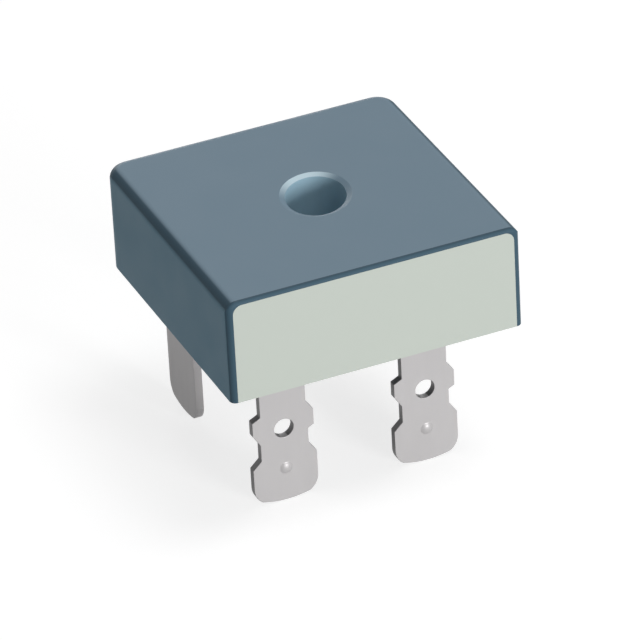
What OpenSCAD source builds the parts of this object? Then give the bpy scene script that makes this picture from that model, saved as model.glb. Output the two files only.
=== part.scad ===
// Square single-phase bridge rectifier with four push-on tabs.
// The part stands on its four tab tips, mounting face up, pale marked face towards -Y.
// X runs along the pale face, Y runs from it to the back, Z = 0 is the tab tips.

/* [Case] */
// Width of the case along the pale face
case_w = 28.5; // [28:0.1:29]
// Depth of the case from the pale face to the back
case_d = 28.5; // [28:0.1:29]
// Height of the case from its open rim to the mounting face
case_h = 10.2; // [10:0.1:11]
// Wall thickness of the moulded cup
wall_t = 1.8; // [1.7:0.1:1.9]
// Thickness of the mounting face of the cup
roof_t = 1.2; // [1:0.1:1.4]
// Rounding of the side and back edges of the mounting face
edge_r = 1; // [0.8:0.1:1.1]
// Rounding of the two upright corners at the back
back_corner_r = 2; // [2:0.1:2.6]
// Rounding of the two upright corners at the pale face
front_corner_r = 0.6; // [0.5:0.05:0.8]
// Rounding of the edge between the pale face and the mounting face
front_edge_r = 0.3; // [0.2:0.05:0.4]

/* [Screw hole] */
// Distance of the hole from the middle of the case, along the pale face
hole_x = 0.6; // [0:0.1:0.7]
// Distance of the hole from the middle of the case, towards the back
hole_y = -0.2; // [-0.3:0.1:0.3]
// Diameter of the hole for the mounting screw
bore_d = 5.3; // [5:0.1:5.4]
// Outer diameter of the tube round the screw hole
tube_d = 8.2; // [8:0.1:8.4]
// Width of the oval mouth of the hole
mouth_w = 6.6; // [6.5:0.1:6.8]
// Length of the oval mouth of the hole
mouth_l = 8; // [7.4:0.1:8]
// Angle from Y to the long axis of the mouth, clockwise from above
mouth_turn = 23; // [0:1:45]
// Width of the bevel round the mouth
bevel_w = 0.5; // [0.4:0.05:0.55]
// Depth of the bevel round the mouth
bevel_h = 0.2; // [0.1:0.05:0.3]
// Depth at which the drafted mouth ends and the round bore starts
mouth_h = 4.6; // [4:0.1:5]

/* [Marking foil] */
// Thickness of the pale foil
foil_t = 0.2; // [0.15:0.05:0.3]
// Radius of the foil's two upper corners
foil_corner_r = 0.9; // [0.7:0.1:1.1]

/* [Tabs] */
// Length of a tab below the case rim
tab_drop = 15.3; // [14:0.1:16]
// Thickness of the tab sheet
tab_t = 0.8; // [0.7:0.05:0.9]
// Width of the tab where it enters the case
neck_w = 4.5; // [4.3:0.1:4.6]
// Half the distance between the two front tabs
tab_x = 7; // [6.8:0.1:7.2]
// Shift of the three parallel tabs along the pale face
tab_shift = -0.2; // [-0.3:0.1:0.1]
// Distance of the front tabs' middle plane from the middle of the case
tab_y = 8.25; // [8.1:0.05:8.4]
// Distance of the turned positive tab's middle plane from the middle of the case
turned_x = 9.2; // [9:0.05:9.3]
// Distance of the two back tabs from the middle of the case
back_y = 9.85; // [9.6:0.05:9.95]
// Diameter of the solder hole in each tab
eye_d = 1.9; // [1.7:0.1:2]
// Height of the solder hole above the tip
eye_h = 7.6; // [7.5:0.1:7.7]
// Height of the solder hole above the tip of the turned tab
turned_eye_h = 8.8; // [8.6:0.1:9]
// Diameter of the locking pip
pip_d = 1.3; // [1.1:0.1:1.5]
// Height of the locking pip above the tip
pip_h = 3.4; // [3.2:0.1:3.6]
// How far the locking pip stands out of the sheet
pip_rise = 0.25; // [0.2:0.05:0.3]
// Inner bend radius where the tab turns into its soldering foot
bend_r = 0.5; // [0.4:0.1:0.6]
// Length of the soldering foot beyond the tab sheet
foot_l = 2.5; // [2.3:0.1:2.5]

/* [Rectifier stack] */
// Thickness of the heat spreader under the mounting face
spreader_t = 1.5; // [1.2:0.1:1.6]
// Thickness of the bond between spreader and ceramic
bond_t = 0.1; // [0.08:0.01:0.15]
// Thickness of the ceramic insulator
ceramic_t = 0.6; // [0.5:0.05:0.7]
// Thickness of the copper pads on the ceramic
pad_t = 0.3; // [0.25:0.05:0.35]
// Thickness of each solder layer
solder_t = 0.1; // [0.08:0.01:0.15]
// Side of a diode die
die_w = 3.6; // [3.2:0.1:3.7]
// Thickness of a diode die
die_t = 0.3; // [0.25:0.05:0.35]
// Thickness of the copper clip on each die
clip_t = 0.4; // [0.3:0.05:0.5]
// Width of the copper clips
clip_w = 1.8; // [1.6:0.1:2]
// How far a clip arches away from the die
clip_arch = 0.8; // [0.6:0.1:1]
// How far the potting resin stays below the rim
resin_recess = 0.3; // [0.2:0.1:0.5]

/* [Hidden] */
$fn = 64;

// Levels above the tab tips
rim_z = tab_drop;
top_z = rim_z + case_h;
roof_z = top_z - roof_t;
resin_z = rim_z + resin_recess;
spreader_z = roof_z - spreader_t;
bond_z = spreader_z - bond_t;
ceramic_z = bond_z - ceramic_t;
pad_z = ceramic_z - pad_t;
die_top_z = pad_z - solder_t;
die_z = die_top_z - die_t;
clip_top_z = die_z - solder_t;
foot_top_z = pad_z - solder_t;

// Cavity and stack outlines
cavity_half = case_w / 2 - wall_t;
cavity_corner_r = 0.5;
spreader_gap = 0.1;
spreader_half = cavity_half - spreader_gap;
spreader_hole_d = tube_d + 0.2;
ceramic_half = spreader_half - 0.1;
ceramic_hole_d = tube_d + 0.6;
pad_half = ceramic_half - 0.1;
pad_gap = 1;
pad_clear_d = 10.4;

// Tab outline, measured from the tip upwards and from the centre line sideways
head_left = 3.2;
head_right = 3.1;
head_r = 1.8;
tip_arc_r = 9;
waist_half = 2.35;
ear_left = 3.05;
ear_right = 2.95;
head_left_z = [3.9, 4.7];
head_right_z = [4.3, 5.4];
ear_left_z = [6.4, 7.5, 8.9, 9.3];
ear_right_z = [6.9, 7.2, 8.8, 9.8];

// Levels between which the plain blade of the turned tab narrows to its neck
shoulder_z = [10.4, 11.5];

// Middle of each die and the run of its clip to the pad that the clip feeds
die_a = [-10, 3];
die_b = [-2.9, 9.8];
die_c = [-7.4, -5.6];
die_d = [9.8, 3];
run_a = 4.9;
run_b = 5.3;
run_c = 10.9;
run_d = 5;

// Clip details, along its run
clip_on_die = 3;
clip_foot_l = 1.8;
clip_slope = 0.7;
clip_skew = 0.2;

// Foil outline on the pale face
foil_half = case_w / 2 - front_corner_r;
foil_high_z = top_z - front_edge_r;

// Levels of the tab where its sheet joins the bent strip and where the bend starts
join_z = 12;
bend_z = foot_top_z - tab_t - bend_r;

// Radius of the ball that forms the locking pip
pip_r = (pow(pip_d / 2, 2) + pow(pip_rise, 2)) / (2 * pip_rise);

// Shared shapes

// Outline of width half * 2 in both directions with rounded corners
module rounded_square(half, r) {
    square([2 * half - 2 * r, 2 * half], center = true);
    square([2 * half, 2 * half - 2 * r], center = true);
    for (x = [-1, 1])
        for (y = [-1, 1])
            translate([x * (half - r), y * (half - r)])
                circle(r = r);
}

// Outline that is depth long in X and h high in Y, with its upper corner at x = 0 rounded by f
module nose(depth, h, f) {
    translate([f, 0])
        square([depth - f, h]);
    square([depth, h - f]);
    translate([f, h - f])
        circle(r = f);
}

// Half section of a round post with its top edge rounded by f
module post_section(r, h, f) {
    square([r - f, h]);
    square([r, h - f]);
    translate([r - f, h - f])
        circle(r = f);
}

// Front part of the case: upper side edges rounded by edge_r, upper front edge by front_edge_r
module front_block(depth) {
    translate([-case_w / 2 + edge_r, 0, 0])
        rotate([90, 0, 90])
            linear_extrude(height = case_w - 2 * edge_r)
                nose(depth, case_h, front_edge_r);
    translate([-case_w / 2, 0, 0])
        cube([case_w, depth, case_h - edge_r]);
    for (x = [-case_w / 2 + edge_r, case_w / 2 - edge_r])
        translate([x, depth, case_h - edge_r])
            rotate([90, 0, 0])
                rotate_extrude()
                    post_section(edge_r, depth, front_edge_r);
}

// Back strip of the case with its upper edge rounded, between two rounded corners
module back_block() {
    translate([-case_w / 2 + back_corner_r, case_d / 2, 0])
        rotate([90, 0, 90])
            linear_extrude(height = case_w - 2 * back_corner_r)
                mirror([1, 0])
                    nose(back_corner_r, case_h, edge_r);
    for (x = [-1, 1])
        translate([x * (case_w / 2 - back_corner_r), case_d / 2 - back_corner_r, 0])
            rotate_extrude()
                post_section(back_corner_r, case_h, edge_r);
}

// Upright block as wide and deep as the case, with its two front corners rounded
module plan_block() {
    translate([-case_w / 2, -case_d / 2 + front_corner_r, 0])
        cube([case_w, case_d - front_corner_r, case_h]);
    translate([-case_w / 2 + front_corner_r, -case_d / 2, 0])
        cube([case_w - 2 * front_corner_r, case_d, case_h]);
    for (x = [-1, 1])
        translate([x * (case_w / 2 - front_corner_r), -case_d / 2 + front_corner_r, 0])
            cylinder(r = front_corner_r, h = case_h);
}

// Thin oval slice at a level: w wide along X and l long along Y
module oval_slice(w, l, h, z) {
    corners = 96;
    turn = 360 / corners;
    translate([0, 0, z])
        linear_extrude(height = h)
            polygon([
                for (i = [0:corners - 1])
                    [w / 2 * cos(i * turn), l / 2 * sin(i * turn)]
            ]);
}

// Mouth of the screw hole: a bevelled oval at the mounting face, drafted down to the round bore
module bore_mouth() {
    slice_h = 0.02;
    narrow_d = bore_d + 0.1;
    throat_w = mouth_w - 2 * bevel_w;
    throat_l = mouth_l - 2 * bevel_w;
    hull() {
        oval_slice(mouth_w + 2 * bevel_w, mouth_l + 2 * bevel_w, slice_h, top_z + bevel_h);
        oval_slice(throat_w - 2 * bevel_w, throat_l - 2 * bevel_w, slice_h, top_z - 2 * bevel_h);
    }
    hull() {
        oval_slice(throat_w, throat_l, slice_h, top_z - bevel_h + slice_h);
        oval_slice(narrow_d, narrow_d, slice_h, top_z - mouth_h);
    }
}

// Marking foil outline, standing in the pale face: grown by extra at the front and the rim
module foil_solid(extra) {
    foil_h = foil_high_z - rim_z;
    translate([0, -case_d / 2 + foil_t, rim_z])
        rotate([90, 0, 0])
            linear_extrude(height = foil_t + extra)
                union() {
                    translate([-foil_half, -extra])
                        square([2 * foil_half, foil_h - foil_corner_r + extra]);
                    translate([-foil_half + foil_corner_r, -extra])
                        square([2 * foil_half - 2 * foil_corner_r, foil_h + extra]);
                    for (x = [-foil_half + foil_corner_r, foil_half - foil_corner_r])
                        translate([x, foil_h - foil_corner_r])
                            circle(r = foil_corner_r);
                }
}

// Space inside the cup from one level to another, round the screw tube
module cavity(low_z, high_z) {
    difference() {
        translate([0, 0, low_z])
            linear_extrude(height = high_z - low_z)
                rounded_square(cavity_half, cavity_corner_r);
        translate([hole_x, hole_y, low_z - 1])
            cylinder(d = tube_d, h = high_z - low_z + 2);
    }
}

// Square plate with rounded corners and a round hole where the screw tube passes
module holed_plate(half, hole_d, low_z, high_z) {
    plate_corner_r = 0.3;
    difference() {
        translate([0, 0, low_z])
            linear_extrude(height = high_z - low_z)
                rounded_square(half, plate_corner_r);
        translate([hole_x, hole_y, low_z - 1])
            cylinder(d = hole_d, h = high_z - low_z + 2);
    }
}

// Copper pad on one quarter of the ceramic: side_x and side_y are -1 or 1
module pad(side_x, side_y) {
    pad_l = pad_half - pad_gap / 2;
    difference() {
        translate([
            side_x > 0 ? pad_gap / 2 : -pad_half,
            side_y > 0 ? pad_gap / 2 : -pad_half,
            pad_z
        ])
            cube([pad_l, pad_l, pad_t]);
        translate([hole_x, hole_y, pad_z - 1])
            cylinder(d = pad_clear_d, h = pad_t + 2);
    }
}

// Block of solder or silicon: size along X and Y, centred on a point, between two levels
module layer(centre, size_x, size_y, low_z, high_z) {
    translate([centre[0] - size_x / 2, centre[1] - size_y / 2, low_z])
        cube([size_x, size_y, high_z - low_z]);
}

// Rounded head of a tab seen from the front
module tab_head() {
    intersection() {
        translate([0, tip_arc_r])
            circle(r = tip_arc_r, $fn = 96);
        union() {
            translate([-head_left + head_r, 0])
                square([head_left + head_right - 2 * head_r, 2 * head_r]);
            translate([-head_left + head_r, head_r])
                circle(r = head_r);
            translate([head_right - head_r, head_r])
                circle(r = head_r);
        }
    }
}

// Tab outline seen from the front: rounded head, waist, ears, neck
module tab_outline() {
    tab_head();
    polygon([
        [head_right, head_r],
        [head_right, head_right_z[0]],
        [waist_half, head_right_z[1]],
        [waist_half, ear_right_z[0]],
        [ear_right, ear_right_z[1]],
        [ear_right, ear_right_z[2]],
        [neck_w / 2, ear_right_z[3]],
        [neck_w / 2, join_z],
        [-neck_w / 2, join_z],
        [-neck_w / 2, ear_left_z[3]],
        [-ear_left, ear_left_z[2]],
        [-ear_left, ear_left_z[1]],
        [-waist_half, ear_left_z[0]],
        [-waist_half, head_left_z[1]],
        [-head_left, head_left_z[0]],
        [-head_left, head_r]
    ]);
}

// Outline of the turned tab: rounded head, straight sides, shoulders, neck
module blade_outline() {
    tab_head();
    polygon([
        [head_right, head_r],
        [head_right, shoulder_z[0]],
        [neck_w / 2, shoulder_z[1]],
        [neck_w / 2, join_z],
        [-neck_w / 2, join_z],
        [-neck_w / 2, shoulder_z[1]],
        [-head_left, shoulder_z[0]],
        [-head_left, head_r]
    ]);
}

// Bent strip seen from its side: the upright neck, the bend and the soldering foot towards -X
module bent_section() {
    translate([-tab_t / 2, join_z])
        square([tab_t, bend_z - join_z]);
    intersection() {
        difference() {
            translate([-tab_t / 2 - bend_r, bend_z])
                circle(r = bend_r + tab_t);
            translate([-tab_t / 2 - bend_r, bend_z])
                circle(r = bend_r);
        }
        translate([-tab_t / 2 - bend_r, bend_z])
            square([bend_r + tab_t, bend_r + tab_t]);
    }
    translate([-tab_t / 2 - foot_l, foot_top_z - tab_t])
        square([foot_l - bend_r, tab_t]);
}

// Sheet of a tab cut to the outline below it, with its bent strip and its foot towards -Y
module tab_sheet() {
    rotate([90, 0, 0])
        linear_extrude(height = tab_t, center = true)
            children();
    rotate([90, 0, 90])
        linear_extrude(height = neck_w, center = true)
            bent_section();
}

// Round tool that cuts the solder hole through a tab's sheet at a height
module eye_tool(height) {
    translate([0, 0, height])
        rotate([90, 0, 0])
            cylinder(d = eye_d, h = 4 * tab_t, center = true);
}

// One tab standing on the middle of its sheet, with its pip towards -Y
module tab() {
    difference() {
        union() {
            tab_sheet()
                tab_outline();
            intersection() {
                translate([0, -tab_t / 2 - pip_rise + pip_r, pip_h])
                    sphere(r = pip_r);
                translate([-pip_d, -tab_t, pip_h - pip_d])
                    cube([2 * pip_d, tab_t, 2 * pip_d]);
            }
        }
        eye_tool(eye_h);
        translate([0, tab_t / 2 - pip_rise + pip_r, pip_h])
            sphere(r = pip_r);
    }
}

// Plain blade without a pip, standing on the middle of its sheet
module plain_tab() {
    difference() {
        union() {
            tab_sheet()
                blade_outline();
        }
        eye_tool(turned_eye_h);
    }
}

// Copper clip from the die at the origin to its foot, run further along X
module clip(run) {
    arch_z = clip_top_z - clip_arch;
    foot_start = run - clip_foot_l / 2;
    foot_end = run + clip_foot_l / 2;
    die_end = clip_on_die / 2;
    rotate([90, 0, 0])
        linear_extrude(height = clip_w, center = true)
            polygon([
                [-die_end, clip_top_z],
                [die_end, clip_top_z],
                [die_end + clip_slope, arch_z],
                [foot_start - clip_slope, arch_z],
                [foot_start, foot_top_z],
                [foot_end, foot_top_z],
                [foot_end, foot_top_z - clip_t],
                [foot_start + clip_skew, foot_top_z - clip_t],
                [foot_start - clip_slope + clip_skew, arch_z - clip_t],
                [die_end + clip_slope - clip_skew, arch_z - clip_t],
                [die_end - clip_skew, clip_top_z - clip_t],
                [-die_end, clip_top_z - clip_t]
            ]);
}

// Case and marked face

// Moulded cup, open towards the tabs, with the screw tube inside
module case_shell() {
    color([0.42, 0.50, 0.56])
        difference() {
            union() {
                difference() {
                    translate([0, 0, rim_z])
                        intersection() {
                            union() {
                                translate([0, -case_d / 2, 0])
                                    front_block(case_d - back_corner_r);
                                back_block();
                            }
                            plan_block();
                        }
                    translate([0, 0, rim_z - 1])
                        linear_extrude(height = roof_z - rim_z + 1)
                            rounded_square(cavity_half, cavity_corner_r);
                }
                translate([hole_x, hole_y, rim_z])
                    cylinder(d = tube_d, h = case_h - roof_t / 2);
            }
            translate([hole_x, hole_y, rim_z - 1])
                cylinder(d = bore_d, h = case_h + 2);
            translate([hole_x, hole_y, 0])
                rotate([0, 0, -mouth_turn])
                    bore_mouth();
            foil_solid(1);
        }
}

// Pale foil let into the front face, left bare
module marking_foil() {
    color([0.78, 0.81, 0.78])
        foil_solid(0);
}

// Plates under the mounting face

// Aluminium plate that takes the heat to the mounting face
module heat_spreader() {
    color([0.74, 0.75, 0.76])
        holed_plate(spreader_half, spreader_hole_d, spreader_z, roof_z);
}

// Bond that holds the ceramic to the spreader
module ceramic_bond() {
    color([0.85, 0.85, 0.80])
        holed_plate(ceramic_half, ceramic_hole_d, bond_z, spreader_z);
}

// Ceramic insulator that carries the copper pads
module ceramic_insulator() {
    color([0.95, 0.95, 0.93])
        holed_plate(ceramic_half, ceramic_hole_d, ceramic_z, bond_z);
}

// Copper pads

// Pad of the positive tab, at the back left
module pad_plus() {
    color([0.80, 0.50, 0.34])
        pad(-1, 1);
}

// Pad of the negative tab, at the front right
module pad_minus() {
    color([0.80, 0.50, 0.34])
        pad(1, -1);
}

// Pad of the front alternating-current tab, at the front left
module pad_ac_front() {
    color([0.80, 0.50, 0.34])
        pad(-1, -1);
}

// Pad of the back alternating-current tab, at the back right
module pad_ac_back() {
    color([0.80, 0.50, 0.34])
        pad(1, 1);
}

// Tabs

// Positive tab, turned a quarter round from the other three
module terminal_plus() {
    color([0.76, 0.75, 0.75])
        translate([-turned_x, back_y, 0])
            rotate([0, 0, -90])
                plain_tab();
}

// Negative tab, at the front right
module terminal_minus() {
    color([0.76, 0.75, 0.75])
        translate([tab_shift + tab_x, -tab_y, 0])
            tab();
}

// Front alternating-current tab, at the front left
module terminal_ac_front() {
    color([0.76, 0.75, 0.75])
        translate([tab_shift - tab_x, -tab_y, 0])
            tab();
}

// Back alternating-current tab, at the back right
module terminal_ac_back() {
    color([0.76, 0.75, 0.75])
        translate([tab_shift + tab_x, back_y, 0])
            tab();
}

// Diode dice

// Die between the front alternating-current tab and the positive pad
module die_plus_from_ac_front() {
    color([0.30, 0.31, 0.34])
        layer(die_a, die_w, die_w, die_z, die_top_z);
}

// Die between the back alternating-current tab and the positive pad
module die_plus_from_ac_back() {
    color([0.30, 0.31, 0.34])
        layer(die_b, die_w, die_w, die_z, die_top_z);
}

// Die between the negative tab and the front alternating-current pad
module die_minus_to_ac_front() {
    color([0.30, 0.31, 0.34])
        layer(die_c, die_w, die_w, die_z, die_top_z);
}

// Die between the negative tab and the back alternating-current pad
module die_minus_to_ac_back() {
    color([0.30, 0.31, 0.34])
        layer(die_d, die_w, die_w, die_z, die_top_z);
}

// Copper clips

// Clip from its die on the positive pad to the front alternating-current pad
module clip_ac_front() {
    color([0.82, 0.54, 0.38])
        translate([die_a[0], die_a[1], 0])
            rotate([0, 0, -90])
                clip(run_a);
}

// Clip from its die on the positive pad to the back alternating-current pad
module clip_ac_back() {
    color([0.82, 0.54, 0.38])
        translate([die_b[0], die_b[1], 0])
            clip(run_b);
}

// Clip from the die on the front alternating-current pad to the negative pad
module clip_minus_front() {
    color([0.82, 0.54, 0.38])
        translate([die_c[0], die_c[1], 0])
            clip(run_c);
}

// Clip from the die on the back alternating-current pad to the negative pad
module clip_minus_back() {
    color([0.82, 0.54, 0.38])
        translate([die_d[0], die_d[1], 0])
            rotate([0, 0, -90])
                clip(run_d);
}

// Solder layers

// Solder between each die and its pad
module solder_under_dice() {
    color([0.70, 0.71, 0.73])
        for (centre = [die_a, die_b, die_c, die_d])
            layer(centre, die_w, die_w, die_top_z, pad_z);
}

// Solder between each die and its clip
module solder_on_dice() {
    color([0.70, 0.71, 0.73]) {
        for (centre = [die_a, die_d])
            layer(centre, clip_w, clip_on_die, clip_top_z, die_z);
        for (centre = [die_b, die_c])
            layer(centre, clip_on_die, clip_w, clip_top_z, die_z);
    }
}

// Solder between each clip's foot and its pad
module solder_clip_feet() {
    color([0.70, 0.71, 0.73]) {
        layer(die_a - [0, run_a], clip_w, clip_foot_l, foot_top_z, pad_z);
        layer(die_b + [run_b, 0], clip_foot_l, clip_w, foot_top_z, pad_z);
        layer(die_c + [run_c, 0], clip_foot_l, clip_w, foot_top_z, pad_z);
        layer(die_d - [0, run_d], clip_w, clip_foot_l, foot_top_z, pad_z);
    }
}

// Solder between each tab's foot and its pad
module solder_terminal_feet() {
    flat_l = foot_l - bend_r;
    flat_mid = tab_t / 2 + bend_r + flat_l / 2;
    color([0.70, 0.71, 0.73]) {
        for (place = [[-tab_x, -tab_y], [tab_x, -tab_y], [tab_x, back_y]])
            layer(place + [tab_shift, -flat_mid], neck_w, flat_l, foot_top_z, pad_z);
        layer([-turned_x - flat_mid, back_y], flat_l, neck_w, foot_top_z, pad_z);
    }
}

// Potting resin that fills the cup and leaves only the tabs free
module potting_resin() {
    color([0.16, 0.17, 0.18])
        difference() {
            cavity(resin_z, ceramic_z);
            pad_plus();
            pad_minus();
            pad_ac_front();
            pad_ac_back();
            terminal_plus();
            terminal_minus();
            terminal_ac_front();
            terminal_ac_back();
            die_plus_from_ac_front();
            die_plus_from_ac_back();
            die_minus_to_ac_front();
            die_minus_to_ac_back();
            clip_ac_front();
            clip_ac_back();
            clip_minus_front();
            clip_minus_back();
            solder_under_dice();
            solder_on_dice();
            solder_clip_feet();
            solder_terminal_feet();
        }
}

case_shell();
marking_foil();
heat_spreader();
ceramic_bond();
ceramic_insulator();
pad_plus();
pad_minus();
pad_ac_front();
pad_ac_back();
terminal_plus();
terminal_minus();
terminal_ac_front();
terminal_ac_back();
die_plus_from_ac_front();
die_plus_from_ac_back();
die_minus_to_ac_front();
die_minus_to_ac_back();
clip_ac_front();
clip_ac_back();
clip_minus_front();
clip_minus_back();
solder_under_dice();
solder_on_dice();
solder_clip_feet();
solder_terminal_feet();
potting_resin();
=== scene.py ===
"""Square bridge rectifier with four push-on tabs, dressed and lit to match the reference view."""
import math

import bmesh
import bpy
from mathutils import Matrix, Vector


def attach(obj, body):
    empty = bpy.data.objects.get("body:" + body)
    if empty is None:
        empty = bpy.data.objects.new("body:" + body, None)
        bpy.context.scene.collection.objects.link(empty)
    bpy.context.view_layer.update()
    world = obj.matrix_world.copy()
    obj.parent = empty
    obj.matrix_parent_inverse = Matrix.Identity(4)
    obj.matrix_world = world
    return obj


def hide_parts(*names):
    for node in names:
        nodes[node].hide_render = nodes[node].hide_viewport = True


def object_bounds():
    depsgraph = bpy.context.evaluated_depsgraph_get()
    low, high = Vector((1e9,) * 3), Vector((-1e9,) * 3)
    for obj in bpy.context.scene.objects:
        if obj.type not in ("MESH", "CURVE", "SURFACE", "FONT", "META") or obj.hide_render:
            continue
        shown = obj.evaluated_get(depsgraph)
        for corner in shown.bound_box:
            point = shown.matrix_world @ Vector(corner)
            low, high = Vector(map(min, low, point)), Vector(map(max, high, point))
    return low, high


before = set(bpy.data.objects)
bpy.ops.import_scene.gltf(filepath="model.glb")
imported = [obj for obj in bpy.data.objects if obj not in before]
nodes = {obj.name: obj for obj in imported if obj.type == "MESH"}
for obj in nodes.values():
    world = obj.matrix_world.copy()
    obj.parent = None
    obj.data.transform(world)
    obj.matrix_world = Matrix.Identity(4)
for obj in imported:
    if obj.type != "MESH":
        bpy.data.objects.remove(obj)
cad_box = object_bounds()
MM = 0.001

# Camera
# A long lens stands in front of the pale face, to its left and above, a little rolled, as in the
# reference view. It aims at a point just under the case, in front of its middle.
CAMERA_DISTANCE = 575.5 * MM
CAMERA_AZIMUTH = math.radians(22.4)
CAMERA_ELEVATION = math.radians(31.33)
CAMERA_ROLL = math.radians(-3.12)
CAMERA_AIM = Vector((-1.0, -3.5, 14.44)) * MM
CAMERA_LENS = 358.0
SENSOR_WIDTH = 36.0
NEAREST_SEEN = 0.01
FARTHEST_SEEN = 20.0


def add_object(name, data):
    """New object that holds data, linked to the scene."""
    item = bpy.data.objects.new(name, data)
    bpy.context.scene.collection.objects.link(item)
    return item


def facing_matrix(place, target):
    """World matrix that puts a camera or a lamp at place and turns it towards target."""
    turn = (target - place).to_track_quat("-Z", "Y")
    return Matrix.Translation(place) @ turn.to_matrix().to_4x4()


def camera_matrix():
    """World matrix of the camera from its aim, distance, angles and roll."""
    away = Vector((
        -math.sin(CAMERA_AZIMUTH) * math.cos(CAMERA_ELEVATION),
        -math.cos(CAMERA_AZIMUTH) * math.cos(CAMERA_ELEVATION),
        math.sin(CAMERA_ELEVATION),
    ))
    place = CAMERA_AIM + away * CAMERA_DISTANCE
    return facing_matrix(place, CAMERA_AIM) @ Matrix.Rotation(CAMERA_ROLL, 4, "Z")


camera_data = bpy.data.cameras.new("camera")
camera_data.lens = CAMERA_LENS
camera_data.sensor_width = SENSOR_WIDTH
camera_data.clip_start = NEAREST_SEEN
camera_data.clip_end = FARTHEST_SEEN
camera = add_object("camera", camera_data)
camera.matrix_world = camera_matrix()
bpy.context.scene.camera = camera
bpy.context.scene.view_settings.view_transform = "Standard"

# Floor and studio
# A flat white floor carries the part and holds its soft shadow. The camera and reflections see
# it and the world as white, while both give only plain soft light.
FLOOR_SIZE = 6.0
FLOOR_GREY = (0.4, 0.4, 0.4, 1)
FLOOR_GLOW = 0.75
WORLD_LIGHT = 0.3


def clear_tree(owner, output_kind):
    """Empties the node tree of a material or world. Returns the tree and a new output node."""
    owner.use_nodes = True
    tree = owner.node_tree
    tree.nodes.clear()
    return tree, tree.nodes.new(output_kind)


def calculate(tree, operation, *values):
    """Output of a Math node on sockets or numbers."""
    node = tree.nodes.new("ShaderNodeMath")
    node.operation = operation
    for socket, value in zip(node.inputs, values):
        if isinstance(value, bpy.types.NodeSocket):
            tree.links.new(value, socket)
        else:
            socket.default_value = value
    return node.outputs[0]


def seen_or_mirrored(tree):
    """Socket that is 1 for camera, glossy and transmission rays, and 0 for diffuse light."""
    path = tree.nodes.new("ShaderNodeLightPath").outputs
    seen = calculate(tree, "MAXIMUM", path["Is Camera Ray"], path["Is Glossy Ray"])
    return calculate(tree, "MAXIMUM", seen, path["Is Transmission Ray"])


def floor_material():
    """Matt white that glows a little where it is seen, so that it is white and keeps the shadow."""
    material = bpy.data.materials.new("studio_floor")
    tree, output = clear_tree(material, "ShaderNodeOutputMaterial")
    matt = tree.nodes.new("ShaderNodeBsdfDiffuse")
    matt.inputs["Color"].default_value = FLOOR_GREY
    glow = tree.nodes.new("ShaderNodeEmission")
    strength = calculate(tree, "MULTIPLY", seen_or_mirrored(tree), FLOOR_GLOW)
    tree.links.new(strength, glow.inputs["Strength"])
    both = tree.nodes.new("ShaderNodeAddShader")
    tree.links.new(matt.outputs[0], both.inputs[0])
    tree.links.new(glow.outputs[0], both.inputs[1])
    tree.links.new(both.outputs[0], output.inputs["Surface"])
    return material


def build_floor():
    """Large flat square at the level of the tab tips."""
    half = FLOOR_SIZE / 2
    corners = [(-half, -half, 0), (half, -half, 0), (half, half, 0), (-half, half, 0)]
    mesh = bpy.data.meshes.new("studio_floor")
    mesh.from_pydata(corners, [], [(0, 1, 2, 3)])
    mesh.materials.append(floor_material())
    floor = add_object("studio_floor", mesh)


def build_world():
    """White world that lights at WORLD_LIGHT and is seen at strength 1."""
    world = bpy.data.worlds.new("studio_world")
    bpy.context.scene.world = world
    tree, output = clear_tree(world, "ShaderNodeOutputWorld")
    sky = tree.nodes.new("ShaderNodeBackground")
    seen = seen_or_mirrored(tree)
    strength = calculate(tree, "MULTIPLY_ADD", seen, 1.0 - WORLD_LIGHT, WORLD_LIGHT)
    tree.links.new(strength, sky.inputs["Strength"])
    tree.links.new(sky.outputs[0], output.inputs["Surface"])


def add_lamp(name, place, side, power):
    """Square soft lamp that faces the part, in metres and watts."""
    data = bpy.data.lights.new(name, "AREA")
    data.size = side
    data.energy = power
    lamp = add_object(name, data)
    lamp.matrix_world = facing_matrix(Vector(place), CAMERA_AIM)


build_floor()
build_world()
add_lamp("front_lamp", place=(0.27, -1.0, 0.16), side=0.35, power=9.0)
add_lamp("top_lamp", place=(0.25, -0.2, 1.0), side=0.4, power=3.45)
add_lamp("back_lamp", place=(0.2, 1.0, 0.1), side=0.5, power=4.0)

# Case
# A cup moulded in one from blue-grey plastic, with the tube for the screw inside it. Its surface
# is the fine satin left by the mould, a little cloudy in colour. Painted shade tints its sides
# bluer and darkens it where its upper and front edges turn. Painted light brightens the wall of
# the hole, with a painted highlight on the front-facing part of the hole's bevel.
CASE_BLUE = (0.190, 0.275, 0.345)
CASE_BLUE_CLOUD = (0.182, 0.265, 0.334)
# Painted shade: the upright sides are tinted bluer and a little darker than the top.
CASE_SIDE_PAINTED_SHADE = (0.140, 0.270, 0.360)
# Painted shade: the upper and front edges are tinted darker where they turn.
CASE_EDGE_PAINTED_SHADE = (0.050, 0.095, 0.130)
# Painted light: the wall of the screw hole is tinted lighter.
HOLE_PAINTED_LIGHT = (0.300, 0.450, 0.540)
# Painted highlight on the front-facing part of the hole's bevel.
BEVEL_PAINTED_HIGHLIGHT = (0.540, 0.680, 0.750)
HOLE_PLACE = (0.6 * MM, -0.2 * MM)
HOLE_CLEAR = 5.5 * MM
EDGE_DEPTH = 1.0 * MM
FRONT_EDGE_DEPTH = 0.4 * MM
EDGE_SOFTNESS = 0.1 * MM
# Each tilt is how far a surface faces along an axis where its tint begins and where it is full.
EDGE_TILT = (0.9995, 0.88)
SIDE_TILT = (0.9, 0.3)
HOLE_TILT = (0.9, 0.6)
BEVEL_TILT = (0.8, 0.9)
BEVEL_HIGHLIGHT_TILT = (-0.1, -0.36)
CLOUD_DETAIL = 4.0
CLOUD_SPAN = (0.2, 0.8)
EVEN = (1, 1, 1)


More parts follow.
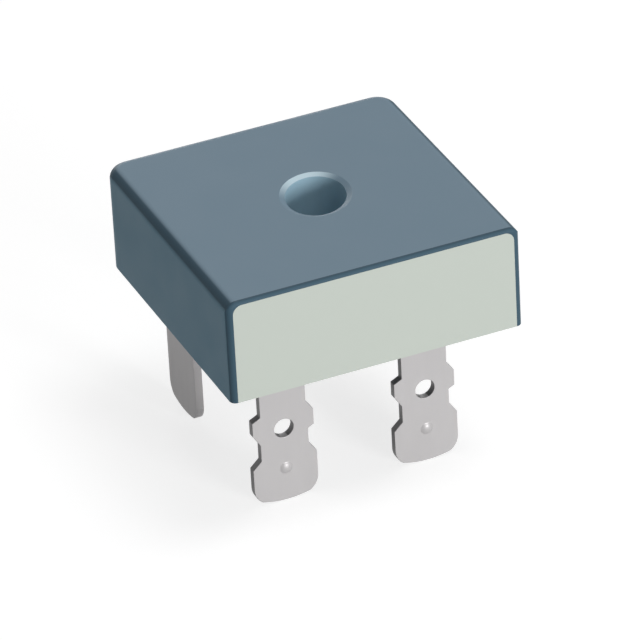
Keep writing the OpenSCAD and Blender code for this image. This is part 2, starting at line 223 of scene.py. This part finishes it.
def add_noise(tree, waves, detail, stretch=EVEN):
    """Socket of a noise on Object coordinates, of waves a metre times the stretch of each axis."""
    coordinates = tree.nodes.new("ShaderNodeTexCoord")
    mapping = tree.nodes.new("ShaderNodeMapping")
    mapping.inputs["Scale"].default_value = stretch
    noise = tree.nodes.new("ShaderNodeTexNoise")
    noise.inputs["Scale"].default_value = waves
    noise.inputs["Detail"].default_value = detail
    tree.links.new(coordinates.outputs["Object"], mapping.inputs["Vector"])
    tree.links.new(mapping.outputs["Vector"], noise.inputs["Vector"])
    return noise.outputs["Fac"]


def ramp(tree, value, span, results=(0.0, 1.0)):
    """Socket that runs smoothly between the two results as value crosses span."""
    spread = tree.nodes.new("ShaderNodeMapRange")
    spread.interpolation_type = "SMOOTHSTEP"
    for name, limit in zip(("From Min", "From Max", "To Min", "To Max"), (*span, *results)):
        spread.inputs[name].default_value = limit
    tree.links.new(value, spread.inputs["Value"])
    return spread.outputs["Result"]


def blend_colours(tree, factor, first, second):
    """Colour that runs from first to second with factor. Each is a colour or a socket."""
    mix = tree.nodes.new("ShaderNodeMix")
    mix.data_type = "RGBA"
    for name, colour in (("A", first), ("B", second)):
        socket = next(item for item in mix.inputs if item.name == name and item.type == "RGBA")
        if isinstance(colour, bpy.types.NodeSocket):
            tree.links.new(colour, socket)
        else:
            socket.default_value = (*colour, 1)
    tree.links.new(factor, mix.inputs["Factor"])
    return next(item for item in mix.outputs if item.type == "RGBA")


def plain_finish(
    name, first, second, waves, roughness, depth,
    relief=None, stretch=EVEN, metallic=0.0, specular=0.5,
):
    """Material whose colour and roughness vary with one noise, and whose surface rises by depth.

    The rise follows the same noise or, where relief gives its waves, detail and stretch, another.
    """
    material = bpy.data.materials.new(name)
    tree, output = clear_tree(material, "ShaderNodeOutputMaterial")
    shader = tree.nodes.new("ShaderNodeBsdfPrincipled")
    shader.inputs["Metallic"].default_value = metallic
    shader.inputs["Specular IOR Level"].default_value = specular
    cloud = add_noise(tree, waves, CLOUD_DETAIL, stretch)
    tree.links.new(blend_colours(tree, cloud, first, second), shader.inputs["Base Color"])
    tree.links.new(ramp(tree, cloud, CLOUD_SPAN, roughness), shader.inputs["Roughness"])
    height = add_noise(tree, *relief) if relief else cloud
    bump = tree.nodes.new("ShaderNodeBump")
    bump.inputs["Strength"].default_value = 1.0
    bump.inputs["Distance"].default_value = depth
    tree.links.new(height, bump.inputs["Height"])
    tree.links.new(bump.outputs["Normal"], shader.inputs["Normal"])
    tree.links.new(shader.outputs[0], output.inputs["Surface"])
    return material


def tint_over(tree, factor, colour):
    """Lays colour over the finish's own colour, as far as factor says."""
    shader = next(node for node in tree.nodes if node.type == "BSDF_PRINCIPLED")
    own_colour = shader.inputs["Base Color"]
    tinted = blend_colours(tree, factor, own_colour.links[0].from_socket, colour)
    tree.links.new(tinted, own_colour)


def split(tree, output_name):
    """The three parts of Object coordinates or of the object's own Normal, as sockets."""
    coordinates = tree.nodes.new("ShaderNodeTexCoord")
    parts = tree.nodes.new("ShaderNodeSeparateXYZ")
    tree.links.new(coordinates.outputs[output_name], parts.inputs[0])
    return parts.outputs


def hole_zone(tree, at):
    """Socket that is 1 within the screw hole and its bevel, seen from above."""
    squares = []
    for axis in range(2):
        offset = calculate(tree, "SUBTRACT", at[axis], HOLE_PLACE[axis])
        squares.append(calculate(tree, "MULTIPLY", offset, offset))
    return calculate(tree, "LESS_THAN", calculate(tree, "ADD", *squares), HOLE_CLEAR ** 2)


def edge_shade_mask(tree, at, facing):
    """Socket that is 1 where the case's upper edges turn, and all along its front edges, for the
    painted edge shade.
    """
    flatness = calculate(tree, "ABSOLUTE", facing[0])
    for side in facing[1:]:
        flatness = calculate(tree, "MAXIMUM", flatness, calculate(tree, "ABSOLUTE", side))
    top = cad_box[1][2] - EDGE_DEPTH
    front = cad_box[0][1] + FRONT_EDGE_DEPTH
    near_top = ramp(tree, at[2], (top - EDGE_SOFTNESS, top))
    near_front = ramp(tree, at[1], (front + EDGE_SOFTNESS, front))
    turning = calculate(tree, "MULTIPLY", near_top, ramp(tree, flatness, EDGE_TILT))
    return calculate(tree, "MAXIMUM", turning, near_front)


def moulded_plastic():
    """Blue-grey moulded plastic, with painted shade on its sides and edges and painted light in the
    hole.
    """
    material = plain_finish(
        "moulded_blue_plastic", CASE_BLUE_CLOUD, CASE_BLUE,
        waves=260, roughness=(0.46, 0.54), depth=0.003 * MM, relief=(9000, 2), specular=0.1,
    )
    tree = material.node_tree
    at = split(tree, "Object")
    facing = split(tree, "Normal")
    in_hole = hole_zone(tree, at)
    around_hole = calculate(tree, "SUBTRACT", 1.0, in_hole)
    upright = ramp(tree, calculate(tree, "ABSOLUTE", facing[2]), SIDE_TILT)
    turned = calculate(tree, "MULTIPLY", edge_shade_mask(tree, at, facing), around_hole)
    painted_hole_light = calculate(tree, "MULTIPLY", in_hole, ramp(tree, facing[2], HOLE_TILT))
    bevelled = calculate(tree, "MULTIPLY", in_hole, ramp(tree, facing[2], BEVEL_TILT))
    painted_bevel_highlight = calculate(tree, "MULTIPLY", bevelled, ramp(tree, facing[1], BEVEL_HIGHLIGHT_TILT))
    # Painted shade down the upright sides.
    tint_over(tree, upright, CASE_SIDE_PAINTED_SHADE)
    # Painted shade along the upper and front edges.
    tint_over(tree, turned, CASE_EDGE_PAINTED_SHADE)
    # Painted light on the wall of the hole.
    tint_over(tree, painted_hole_light, HOLE_PAINTED_LIGHT)
    # Painted highlight on the front-facing part of the bevel.
    tint_over(tree, painted_bevel_highlight, BEVEL_PAINTED_HIGHLIGHT)
    return material


def dress(material, *names):
    """Gives carried-over CAD nodes their material."""
    for name in names:
        for held in nodes[name].material_slots:
            held.material = material


dress(moulded_plastic(), "case_shell")

# Marking foil
# A pale grey-green foil let into the front of the case, left bare. It is thin matt film that is
# laid in the mould, so it lies flush with the plastic.
FOIL_PALE = (0.512, 0.555, 0.507)
FOIL_SHADE = (0.502, 0.545, 0.497)

foil = plain_finish(
    "pale_matt_film", FOIL_SHADE, FOIL_PALE,
    waves=700, roughness=(0.55, 0.65), depth=0.0015 * MM, relief=(14000, 2), specular=0.3,
)
dress(foil, "marking_foil")

# Heat spreader
# A rolled aluminium plate that lies against the inside of the mounting face. It is left mill
# finished, with the fine grain of the rolls.
ALUMINIUM = (0.80, 0.80, 0.81)
ALUMINIUM_GRAIN = (0.70, 0.70, 0.71)

aluminium = plain_finish(
    "rolled_aluminium", ALUMINIUM_GRAIN, ALUMINIUM,
    waves=3000, roughness=(0.3, 0.42), depth=0.003 * MM, stretch=(0.05, 1, 1), metallic=1.0,
)
dress(aluminium, "heat_spreader")

# Ceramic insulator
# A fired alumina plate bonded to the spreader with a thin white cured paste. Both are matt, and
# the ceramic is a little speckled.
ALUMINA = (0.88, 0.88, 0.85)
ALUMINA_SPECK = (0.80, 0.80, 0.77)
PASTE = (0.72, 0.72, 0.66)
PASTE_STREAK = (0.64, 0.64, 0.58)

alumina = plain_finish(
    "fired_alumina", ALUMINA_SPECK, ALUMINA,
    waves=5000, roughness=(0.5, 0.62), depth=0.003 * MM,
)
dress(alumina, "ceramic_insulator")
paste = plain_finish(
    "cured_bond_paste", PASTE_STREAK, PASTE,
    waves=900, roughness=(0.6, 0.75), depth=0.006 * MM,
)
dress(paste, "ceramic_bond")

# Copper pads and clips
# Copper foil pads fused to the ceramic, and bent copper strips that join each die to the next
# pad. The copper is bare and lightly brushed.
COPPER = (0.90, 0.50, 0.36)
COPPER_DULL = (0.78, 0.40, 0.27)

copper = plain_finish(
    "brushed_copper", COPPER_DULL, COPPER,
    waves=4000, roughness=(0.28, 0.4), depth=0.002 * MM, stretch=(1, 0.08, 1), metallic=1.0,
)
dress(copper, "pad_plus", "pad_minus", "pad_ac_front", "pad_ac_back")
dress(copper, "clip_ac_front", "clip_ac_back", "clip_minus_front", "clip_minus_back")

# Diode dice
# Four square chips of silicon, sawn from a wafer. Their faces are smooth and dark, with a faint
# bluish cast.
SILICON = (0.075, 0.080, 0.095)
SILICON_CLOUD = (0.060, 0.064, 0.078)

silicon = plain_finish(
    "dark_silicon", SILICON_CLOUD, SILICON,
    waves=2500, roughness=(0.18, 0.26), depth=0.001 * MM, stretch=(0.1, 1, 1),
)
dress(silicon, "die_plus_from_ac_front", "die_plus_from_ac_back")
dress(silicon, "die_minus_to_ac_front", "die_minus_to_ac_back")

# Solder
# Thin reflowed layers under and over the dice, under the clip feet and under the tab feet. They
# set satin grey with a slightly frosted grain.
SOLDER = (0.62, 0.62, 0.63)
SOLDER_FROST = (0.50, 0.50, 0.51)

solder = plain_finish(
    "reflowed_solder", SOLDER_FROST, SOLDER,
    waves=6000, roughness=(0.3, 0.48), depth=0.004 * MM, metallic=0.9,
)
dress(solder, "solder_under_dice", "solder_on_dice", "solder_clip_feet", "solder_terminal_feet")

# Tabs
# Four tabs stamped from copper sheet 0.8 mm thick and plated with matt tin. Three stand
# parallel to the pale face, and the positive one is a plain blade turned a quarter round. The
# press leaves their edges slightly rolled over. The cut sides of the three parallel tabs carry a
# painted shade.
TABS = ("terminal_plus", "terminal_minus", "terminal_ac_front", "terminal_ac_back")
TURNED_TAB = "terminal_plus"
TIN_PALE = (0.500, 0.487, 0.490)
TIN_SHADE = (0.475, 0.462, 0.465)
# Painted shade for the cut sides of the three parallel tabs.
TIN_PAINTED_SHADE = (0.170, 0.167, 0.170)
MERGE_GAP = 0.0005 * MM
FLAT_ANGLE = math.radians(0.5)
EDGE_ROLL = 0.06 * MM
EDGE_ROLL_STEPS = 3
EDGE_ROLL_ANGLE = math.radians(50)
SHARP_ANGLE = math.radians(35)
FLAT_FACE_WEIGHT = 100
SIDE_SHADE_TILT = 0.35


def matt_tin():
    """Matt tin plating with the faint lengthwise grain of the sheet, and painted shade on cut sides.
    """
    material = plain_finish(
        "matt_tin_plating", TIN_SHADE, TIN_PALE,
        waves=1600, roughness=(0.42, 0.52), depth=0.002 * MM, relief=(7000, 3, (1, 1, 0.2)),
        stretch=(1, 1, 0.12), metallic=0.2,
    )
    tree = material.node_tree
    painted_side_shade = tree.nodes.new("ShaderNodeAttribute")
    painted_side_shade.attribute_name = "painted_side_shade"
    # Painted shade on the faces that the mesh marks.
    tint_over(tree, painted_side_shade.outputs["Fac"], TIN_PAINTED_SHADE)
    return material


def merged_copy(node, name):
    """Copy of a CAD node with its loose triangles joined and its flat faces made whole."""
    mesh = nodes[node].data.copy()
    mesh.name = name
    mesh.materials.clear()
    shape = bmesh.new()
    shape.from_mesh(mesh)
    bmesh.ops.remove_doubles(shape, verts=shape.verts, dist=MERGE_GAP)
    bmesh.ops.dissolve_limit(shape, angle_limit=FLAT_ANGLE, verts=shape.verts, edges=shape.edges)
    shape.to_mesh(mesh)
    shape.free()
    return add_object(name, mesh)


def settle(piece):
    """Turns the piece's modifiers into plain mesh."""
    evaluated = piece.evaluated_get(bpy.context.evaluated_depsgraph_get())
    mesh = bpy.data.meshes.new_from_object(evaluated)
    mesh.name = piece.name
    piece.modifiers.clear()
    piece.data = mesh


def roll_edges(piece):
    """Rounds the piece's edges as the press does, and keeps its flat faces flat in the light."""
    roll = piece.modifiers.new("edge_roll", "BEVEL")
    roll.width = EDGE_ROLL
    roll.segments = EDGE_ROLL_STEPS
    roll.limit_method = "ANGLE"
    roll.angle_limit = EDGE_ROLL_ANGLE
    settle(piece)
    piece.data.shade_smooth()
    piece.data.set_sharp_from_angle(angle=SHARP_ANGLE)
    flat = piece.modifiers.new("flat_faces", "WEIGHTED_NORMAL")
    flat.weight = FLAT_FACE_WEIGHT
    flat.keep_sharp = True
    settle(piece)


def mark_painted_shade_sides(mesh):
    """Stores 1 on the cut sides of a parallel tab, where the painted shade goes."""
    painted_side_shade = mesh.attributes.new("painted_side_shade", "FLOAT", "FACE")
    for face in mesh.polygons:
        in_sheet = abs(face.normal[1]) < SIDE_SHADE_TILT
        painted_side_shade.data[face.index].value = float(in_sheet and abs(face.normal[0]) > SIDE_SHADE_TILT)


tin = matt_tin()
for tab in TABS:
    rolled = merged_copy(tab, tab.replace("terminal", "stamped_tab"))
    roll_edges(rolled)
    rolled.data.materials.clear()
    rolled.data.materials.append(tin)
    # The parallel tabs get painted shade on their cut sides.
    if tab != TURNED_TAB:
        mark_painted_shade_sides(rolled.data)
    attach(rolled, "root")
    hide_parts(tab)

# Potting resin
# Dark epoxy poured in round the tabs, which fills the cup to just below its rim. It sets
# glossy, with a slight unevenness.
RESIN = (0.020, 0.022, 0.025)
RESIN_CLOUD = (0.027, 0.029, 0.033)

resin = plain_finish(
    "poured_epoxy", RESIN, RESIN_CLOUD,
    waves=400, roughness=(0.22, 0.34), depth=0.06 * MM, relief=(220, 2),
)
dress(resin, "potting_resin")

# Resin collars
# The liquid resin climbs a little where it meets the cup, the screw tube and the tab necks. It
# sets there as thin hollow collars of the same epoxy.
COLLAR_REACH = 0.4 * MM
COLLAR_RISE = 0.22 * MM
COLLAR_BITE = 0.02 * MM
COLLAR_HOLLOW = 0.28
COLLAR_SHARP_ANGLE = math.radians(50)
CUP_CORNER = 0.5 * MM
CUP_CORNER_STEPS = 8
TUBE_RADIUS = 4.1 * MM
TUBE_STEPS = 16
NECK_WIDTH = 4.5 * MM
TAB_SHEET = 0.8 * MM
NECK_CORNER = 0.04 * MM
NECK_CORNER_STEPS = 2
LEFT_NECK = -7.2 * MM
RIGHT_NECK = 6.8 * MM
TURNED_NECK = -9.2 * MM
FRONT_ROW = -8.25 * MM
BACK_ROW = 9.85 * MM
resin_box = nodes["potting_resin"].bound_box
resin_level = min(corner[2] for corner in resin_box)
cup_inside = max(corner[0] for corner in resin_box)


def add_wall_line(paths, centre, half, corner, steps, inside=False):
    """Adds a closed line round a rectangle with rounded corners. Inside a cup it runs clockwise."""
    points = []
    for quarter, (side_x, side_y) in enumerate(((1, 1), (-1, 1), (-1, -1), (1, -1))):
        for step in range(steps + 1):
            angle = math.pi / 2 * (quarter + step / steps)
            points.append((
                centre[0] + side_x * (half[0] - corner) + corner * math.cos(angle),
                centre[1] + side_y * (half[1] - corner) + corner * math.sin(angle),
                resin_level,
                1,
            ))
    if inside:
        points.reverse()
    line = paths.splines.new("POLY")
    line.points.add(len(points) - 1)
    for point, place in zip(line.points, points):
        point.co = place
    line.use_cyclic_u = True


def resin_wall_lines():
    """Lines on the resin's surface along every wall that it meets."""
    paths = bpy.data.curves.new("resin_wall_lines", "CURVE")
    paths.dimensions = "3D"
    cup = (cup_inside, cup_inside)
    tube = (TUBE_RADIUS, TUBE_RADIUS)
    turned = (TAB_SHEET / 2, NECK_WIDTH / 2)
    parallel = (NECK_WIDTH / 2, TAB_SHEET / 2)
    add_wall_line(paths, (0, 0), cup, CUP_CORNER, CUP_CORNER_STEPS, inside=True)
    add_wall_line(paths, HOLE_PLACE, tube, TUBE_RADIUS, TUBE_STEPS)
    add_wall_line(paths, (TURNED_NECK, BACK_ROW), turned, NECK_CORNER, NECK_CORNER_STEPS)
    for neck in ((LEFT_NECK, FRONT_ROW), (RIGHT_NECK, FRONT_ROW), (RIGHT_NECK, BACK_ROW)):
        add_wall_line(paths, neck, parallel, NECK_CORNER, NECK_CORNER_STEPS)
    return add_object("resin_wall_lines", paths)


def collar_tree():
    """Node tree that sweeps a hollow fillet along lines. Returns it and its inputs' identifiers."""
    tree = bpy.data.node_groups.new("resin_collar", "GeometryNodeTree")
    tree.interface.new_socket("Lines", in_out="INPUT", socket_type="NodeSocketGeometry")
    keys = {}
    for name in ("Reach", "Rise", "Bite", "Hollow", "Resin"):
        kind = "NodeSocketMaterial" if name == "Resin" else "NodeSocketFloat"
        keys[name] = tree.interface.new_socket(name, in_out="INPUT", socket_type=kind).identifier
    tree.interface.new_socket("Collars", in_out="OUTPUT", socket_type="NodeSocketGeometry")
    given = tree.nodes.new("NodeGroupInput").outputs
    back = calculate(tree, "MULTIPLY", given["Bite"], -1.0)
    profile = tree.nodes.new("GeometryNodeCurvePrimitiveQuadrilateral")
    profile.mode = "POINTS"
    corners = (
        (back, back),
        (given["Reach"], back),
        (
            calculate(tree, "MULTIPLY", given["Reach"], given["Hollow"]),
            calculate(tree, "MULTIPLY", given["Rise"], given["Hollow"]),
        ),
        (back, given["Rise"]),
    )
    for index, (away, down) in enumerate(corners, start=1):
        corner = tree.nodes.new("ShaderNodeCombineXYZ")
        tree.links.new(away, corner.inputs["X"])
        tree.links.new(down, corner.inputs["Y"])
        tree.links.new(corner.outputs[0], profile.inputs[f"Point {index}"])
    upright = tree.nodes.new("GeometryNodeSetCurveNormal")
    upright.mode = "Z_UP"
    sweep = tree.nodes.new("GeometryNodeCurveToMesh")
    realize = tree.nodes.new("GeometryNodeRealizeInstances")
    finish = tree.nodes.new("GeometryNodeSetMaterial")
    tree.links.new(given["Lines"], upright.inputs["Curve"])
    tree.links.new(upright.outputs[0], sweep.inputs["Curve"])
    tree.links.new(profile.outputs[0], sweep.inputs["Profile Curve"])
    tree.links.new(sweep.outputs[0], realize.inputs[0])
    tree.links.new(realize.outputs[0], finish.inputs["Geometry"])
    tree.links.new(given["Resin"], finish.inputs["Material"])
    tree.links.new(finish.outputs[0], tree.nodes.new("NodeGroupOutput").inputs[0])
    return tree, keys


line_carrier = resin_wall_lines()
sweeping = line_carrier.modifiers.new("resin_collar", "NODES")
sweeping.node_group, collar_inputs = collar_tree()
for input_name, value in (
    ("Reach", COLLAR_REACH),
    ("Rise", COLLAR_RISE),
    ("Bite", COLLAR_BITE),
    ("Hollow", COLLAR_HOLLOW),
    ("Resin", resin),
):
    sweeping[collar_inputs[input_name]] = value
swept = line_carrier.evaluated_get(bpy.context.evaluated_depsgraph_get())
collar_mesh = bpy.data.meshes.new_from_object(swept)
collar_mesh.name = "resin_collars"
bpy.data.objects.remove(line_carrier)
collar_mesh.shade_smooth()
collar_mesh.set_sharp_from_angle(angle=COLLAR_SHARP_ANGLE)
collars = add_object("resin_collars", collar_mesh)
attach(collars, "root")
